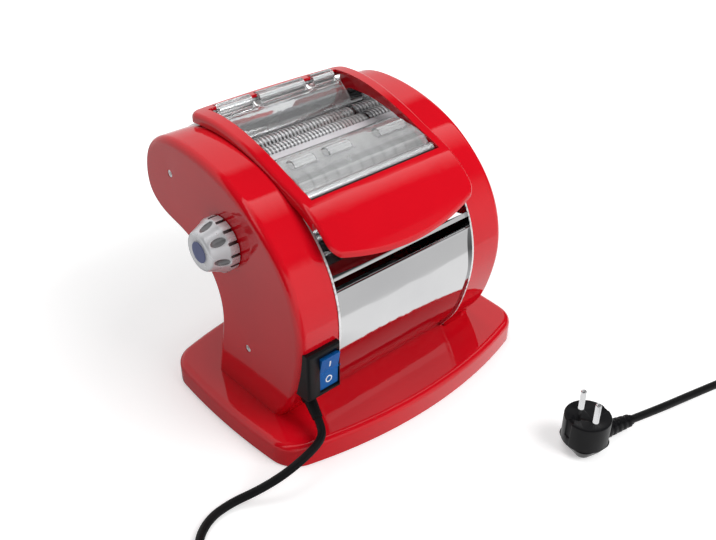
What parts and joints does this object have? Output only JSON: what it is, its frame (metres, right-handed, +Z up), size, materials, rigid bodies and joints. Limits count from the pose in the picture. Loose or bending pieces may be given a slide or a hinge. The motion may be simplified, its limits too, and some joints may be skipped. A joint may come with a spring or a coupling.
{
  "type": "electric pasta maker",
  "caption": "Table-top electric pasta maker with rollers and cutters in an open top bay under clear guards, a curved body on a flat base, a thickness knob, a rocker switch and a mains lead.",
  "frame": {"origin": "middle of the footprint, on the surface that the rubber feet stand on", "axes": "+Z up, +Y to the back, +X along the rollers to the right-hand cover; the knob is on the -X side"},
  "size_m": [0.513, 0.4975, 0.2414],
  "materials": {
    "red_paint": "gloss",
    "chrome": "polished",
    "steel": "satin",
    "zinc": "satin",
    "clear_plastic": "clear",
    "grey_plastic": "satin",
    "silver_plastic": "satin",
    "blue_plastic": "gloss",
    "black_plastic": "satin",
    "black_rubber": "matte",
    "gear_plastic": "matte",
    "nickel": "polished",
    "motor_case": "satin"
  },
  "bodies": {
    "housing": {"back_panel": "chrome", "base_tray": "red_paint", "cord_back": "black_rubber", "cord_coil": "black_rubber", "cord_gland": "black_rubber", "cord_out": "black_rubber", "cover_left": "red_paint", "cover_right": "red_paint", "cover_screws_left": "zinc", "cover_screws_right": "zinc", "deflector_back": "chrome", "deflector_front": "chrome", "front_panel": "chrome", "front_strip": "chrome", "gear_bridge": "zinc", "gearbox": "zinc", "guide_bar": "grey_plastic", "head_panel": "chrome", "hinge_rod_back": "steel", "hinge_rod_front": "steel", "motor": "motor_case", "pin_gear_wheel": "zinc", "pin_idler_cut": "zinc", "pin_idler_fine": "zinc", "pin_idler_main": "zinc", "plug_body": "black_plastic", "plug_pins": "nickel", "rubber_foot_1": "black_rubber", "rubber_foot_2": "black_rubber", "rubber_foot_3": "black_rubber", "rubber_foot_4": "black_rubber", "scraper_fine": "steel", "scraper_wide": "steel", "sheet_chute": "chrome", "side_plate_left": "chrome", "side_plate_right": "chrome", "switch_housing": "black_plastic", "tie_rod_1": "zinc", "tie_rod_2": "zinc", "tie_rod_3": "zinc", "top_frame": "red_paint"},
    "roller_back_unit": {"roller_back": "steel"},
    "front_carriage": {"carrier_left": "steel", "carrier_right": "steel"},
    "roller_front_unit": {"roller_front": "steel"},
    "cut_idler": {"idler_cut": "gear_plastic"},
    "wide_cutter_back": {"cutter_wide_back": "steel"},
    "wide_cutter_front": {"cutter_wide_front": "steel"},
    "fine_idler": {"idler_fine": "gear_plastic"},
    "fine_cutter_back": {"cutter_fine_back": "steel"},
    "fine_cutter_front": {"cutter_fine_front": "steel"},
    "main_idler": {"idler_main": "gear_plastic"},
    "main_wheel": {"gear_wheel": "gear_plastic"},
    "drive_pinion": {"motor_pinion": "steel"},
    "thickness_knob": {"knob": "silver_plastic", "knob_cap": "blue_plastic"},
    "rear_guard": {"guard_back": "clear_plastic"},
    "front_guard": {"guard_front": "clear_plastic"},
    "power_rocker": {"switch_rocker": "blue_plastic"}
  },
  "joints": [
    {"name": "roller_back_spin", "type": "hinge", "parent": "housing", "child": "roller_back_unit", "pos_m": [0, 0.03, 0.167], "axis": [1, 0, 0], "continuous": true},
    {"name": "roller_gap_slide", "type": "slide", "parent": "housing", "child": "front_carriage", "axis": [0, -1, 0], "range_m": [0, 0.0022]},
    {"name": "roller_front_spin", "type": "hinge", "parent": "front_carriage", "child": "roller_front_unit", "pos_m": [0, 0.003, 0.167], "axis": [1, 0, 0], "continuous": true},
    {"name": "idler_cut_spin", "type": "hinge", "parent": "housing", "child": "cut_idler", "pos_m": [0, 0.02246, 0.1866], "axis": [1, 0, 0], "continuous": true},
    {"name": "wide_back_spin", "type": "hinge", "parent": "housing", "child": "wide_cutter_back", "pos_m": [0, 0.008, 0.196], "axis": [1, 0, 0], "continuous": true},
    {"name": "wide_front_spin", "type": "hinge", "parent": "housing", "child": "wide_cutter_front", "pos_m": [0, -0.0115, 0.196], "axis": [1, 0, 0], "continuous": true},
    {"name": "idler_fine_spin", "type": "hinge", "parent": "housing", "child": "fine_idler", "pos_m": [0, 0.05485, 0.17755], "axis": [1, 0, 0], "continuous": true},
    {"name": "fine_back_spin", "type": "hinge", "parent": "housing", "child": "fine_cutter_back", "pos_m": [0, 0.069, 0.196], "axis": [1, 0, 0], "continuous": true},
    {"name": "fine_front_spin", "type": "hinge", "parent": "housing", "child": "fine_cutter_front", "pos_m": [0, 0.0495, 0.196], "axis": [1, 0, 0], "continuous": true},
    {"name": "idler_main_spin", "type": "hinge", "parent": "housing", "child": "main_idler", "pos_m": [0, 0.0106, 0.1403], "axis": [1, 0, 0], "continuous": true},
    {"name": "wheel_spin", "type": "hinge", "parent": "housing", "child": "main_wheel", "pos_m": [0, -0.0301, 0.11487], "axis": [1, 0, 0], "continuous": true},
    {"name": "pinion_spin", "type": "hinge", "parent": "housing", "child": "drive_pinion", "pos_m": [0, -0.05615, 0.08789], "axis": [1, 0, 0], "continuous": true},
    {"name": "knob_turn", "type": "hinge", "parent": "housing", "child": "thickness_knob", "pos_m": [-0.125, 0.0019, 0.167], "axis": [1, 0, 0], "range_deg": [0, 180]},
    {"name": "rear_guard_hinge", "type": "hinge", "parent": "housing", "child": "rear_guard", "pos_m": [0, 0.084, 0.2356], "axis": [-1, 0, 0], "range_deg": [0, 95]},
    {"name": "front_guard_hinge", "type": "hinge", "parent": "housing", "child": "front_guard", "pos_m": [0, -0.0425, 0.206], "axis": [1, 0, 0], "range_deg": [0, 95]},
    {"name": "power_rocker_tilt", "type": "hinge", "parent": "housing", "child": "power_rocker", "pos_m": [-0.0965, -0.0935, 0.08175], "axis": [-1, 0, 0], "range_deg": [0, 14]}
  ],
  "couplings": [
    {"joint": "roller_front_spin", "follows": "roller_back_spin", "ratio": -1},
    {"joint": "idler_cut_spin", "follows": "roller_back_spin", "ratio": -1.8},
    {"joint": "wide_back_spin", "follows": "roller_back_spin", "ratio": 1.3846},
    {"joint": "wide_front_spin", "follows": "roller_back_spin", "ratio": -1.3846},
    {"joint": "idler_fine_spin", "follows": "roller_back_spin", "ratio": -1},
    {"joint": "fine_back_spin", "follows": "roller_back_spin", "ratio": 1.3846},
    {"joint": "fine_front_spin", "follows": "roller_back_spin", "ratio": -1.3846},
    {"joint": "idler_main_spin", "follows": "roller_back_spin", "ratio": -0.69231},
    {"joint": "wheel_spin", "follows": "roller_back_spin", "ratio": 0.47368},
    {"joint": "pinion_spin", "follows": "roller_back_spin", "ratio": -1.5},
    {"joint": "knob_turn", "follows": "roller_gap_slide", "rad_per_m": 1428}
  ]
}
